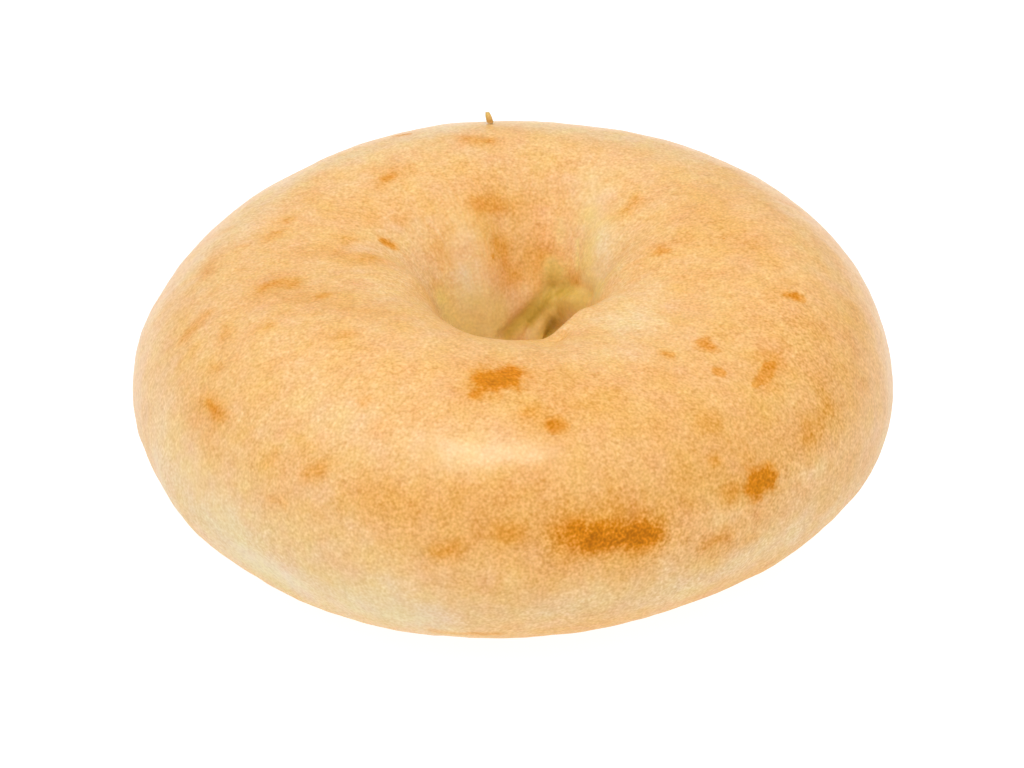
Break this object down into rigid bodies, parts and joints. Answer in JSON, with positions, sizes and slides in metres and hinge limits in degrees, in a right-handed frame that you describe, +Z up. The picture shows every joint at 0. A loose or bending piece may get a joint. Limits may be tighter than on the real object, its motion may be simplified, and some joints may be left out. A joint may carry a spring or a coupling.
{
  "type": "bagel",
  "caption": "Plain baked bagel: a fat, uneven ring of bread with a flat base, a narrow hole and pinched folds on the wall of the hole.",
  "frame": {"origin": "on the flat base, at the middle of the hole, which is also the middle of the ring's outline", "axes": "+Z up, away from the base; -Y towards the front, the side with the larger brown patch; +X to the right seen from the front"},
  "size_m": [0.1076, 0.1102, 0.0403],
  "materials": {
    "crust": "Baked bagel crust: pale golden tan, satin, finely pebbled and streaked along the ring, with orange-brown freckles, one larger brown patch at the front, a paler cream band low on the side and olive shade in the folds of the hole"
  },
  "bodies": {
    "root": {"bagel": "crust"}
  },
  "joints": []
}
